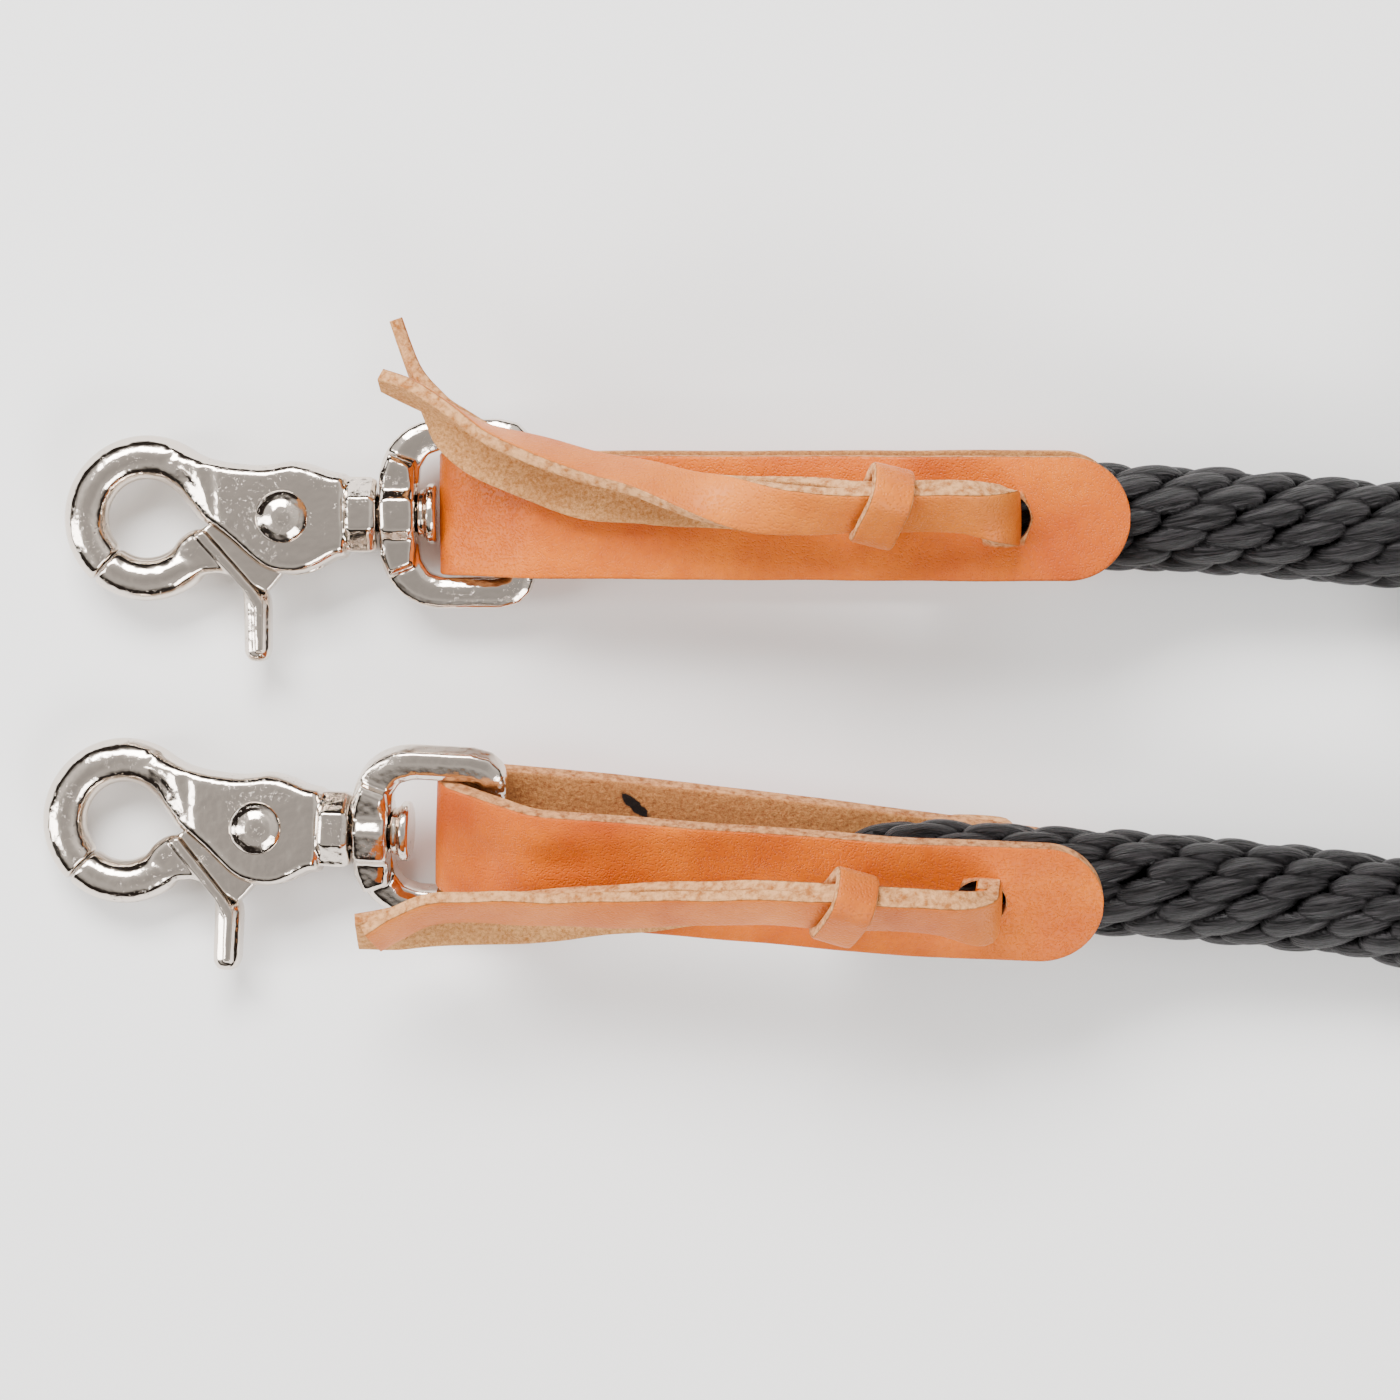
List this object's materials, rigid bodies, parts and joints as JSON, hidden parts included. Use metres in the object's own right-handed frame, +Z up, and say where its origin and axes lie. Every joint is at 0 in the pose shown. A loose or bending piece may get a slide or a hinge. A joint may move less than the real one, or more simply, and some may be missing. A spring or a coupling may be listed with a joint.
{
  "type": "rope reins",
  "caption": "Closed rope rein with a folded leather loop at each end, held by a doubled leather lace with a sliding keeper and carrying a swivel trigger snap.",
  "frame": {"origin": "middle of the floor rectangle under the leather and the metal, at table height", "axes": "+Z up, the snaps point to -X, the rope and its tied hank leave to +X"},
  "size_m": [0.7007, 0.1374, 0.0458],
  "materials": {
    "harness_leather": "satin",
    "lace_leather": "satin",
    "braided_rope": "soft sheen",
    "nickel_plate": "polished",
    "spring_steel": "satin"
  },
  "bodies": {
    "reins": {"leather_loop_a": "harness_leather", "leather_loop_b": "harness_leather", "lace_a": "lace_leather", "lace_b": "lace_leather", "rope_lead_a": "braided_rope", "rope_lead_b": "braided_rope", "rope_hank": "braided_rope", "hank_tie_left": "lace_leather", "hank_tie_right": "lace_leather"},
    "eye_a": {"swivel_eye_a": "nickel_plate"},
    "snap_a": {"snap_body_a": "nickel_plate", "rivet_a": "nickel_plate", "trigger_spring_a": "spring_steel"},
    "gate_a": {"trigger_a": "nickel_plate"},
    "slider_a": {"keeper_a": "lace_leather"},
    "eye_b": {"swivel_eye_b": "nickel_plate"},
    "snap_b": {"snap_body_b": "nickel_plate", "rivet_b": "nickel_plate", "trigger_spring_b": "spring_steel"},
    "gate_b": {"trigger_b": "nickel_plate"},
    "slider_b": {"keeper_b": "lace_leather"}
  },
  "joints": [
    {"name": "eye_swing_a", "type": "hinge", "parent": "reins", "child": "eye_a", "pos_m": [-0.0106, 0.0237, 0.00875], "axis": [-0.0026, 0.9952, 0.0975], "range_deg": [-60, 90], "deforming": ["lace_a"]},
    {"name": "snap_swivel_a", "type": "hinge", "parent": "eye_a", "child": "snap_a", "pos_m": [-0.03459, 0.0237, 0.00812], "axis": [0.9997, 0, 0.0262], "continuous": true},
    {"name": "gate_hinge_a", "type": "hinge", "parent": "snap_a", "child": "gate_a", "pos_m": [-0.05398, 0.0229, 0.00761], "axis": [-0.0262, 0, 0.9997], "range_deg": [0, 32], "stiffness_Nm_per_rad": 0.35, "springref_deg": -57.3, "deforming": ["trigger_spring_a"]},
    {"name": "keeper_slide_a", "type": "slide", "parent": "reins", "child": "slider_a", "axis": [0.9998, 0, 0.0209], "range_m": [0, 0.009]},
    {"name": "eye_swing_b", "type": "hinge", "parent": "reins", "child": "eye_b", "pos_m": [-0.0152, -0.0348, 0.01185], "axis": [0.0005, 0.8841, 0.4674], "range_deg": [-60, 90], "deforming": ["lace_b"]},
    {"name": "snap_swivel_b", "type": "hinge", "parent": "eye_b", "child": "snap_b", "pos_m": [-0.03906, -0.03359, 0.00959], "axis": [0.9943, -0.0504, 0.0941], "continuous": true},
    {"name": "gate_hinge_b", "type": "hinge", "parent": "snap_b", "child": "gate_b", "pos_m": [-0.05839, -0.03341, 0.00777], "axis": [-0.094, 0.0048, 0.9956], "range_deg": [0, 32], "stiffness_Nm_per_rad": 0.35, "springref_deg": -57.3, "deforming": ["trigger_spring_b"]},
    {"name": "keeper_slide_b", "type": "slide", "parent": "reins", "child": "slider_b", "axis": [0.9987, -0.0506, 0], "range_m": [0, 0.011]}
  ]
}
